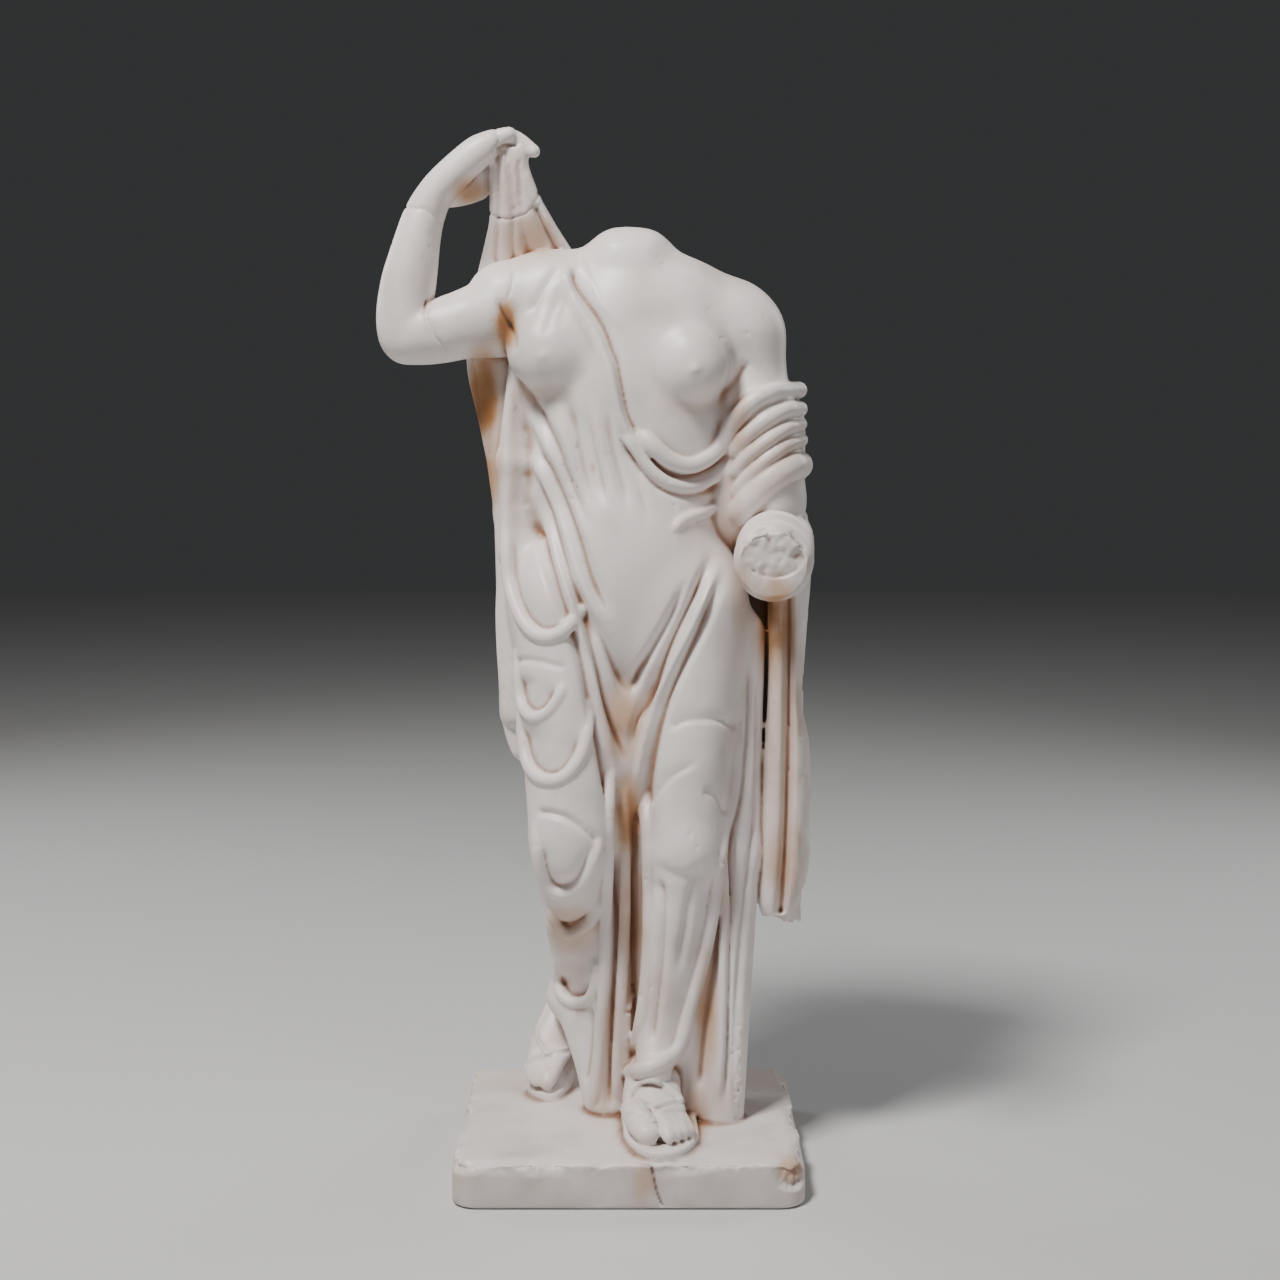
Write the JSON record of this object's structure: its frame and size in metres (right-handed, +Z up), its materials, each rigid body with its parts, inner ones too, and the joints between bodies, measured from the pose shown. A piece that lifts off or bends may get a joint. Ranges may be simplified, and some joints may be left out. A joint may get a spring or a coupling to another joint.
{
  "type": "draped marble statue of a goddess",
  "caption": "Headless marble statue of a draped standing goddess, one hand drawing up her mantle, on a low plinth.",
  "frame": {"origin": "middle of the plinth's underside", "axes": "+X to the viewer's right, -Y towards the viewer, +Z up"},
  "size_m": [0.4363, 0.3, 1.03],
  "materials": {
    "marble": "softly polished white marble with honey-brown patina in the folds"
  },
  "bodies": {
    "root": {"statue": "marble"}
  },
  "joints": []
}
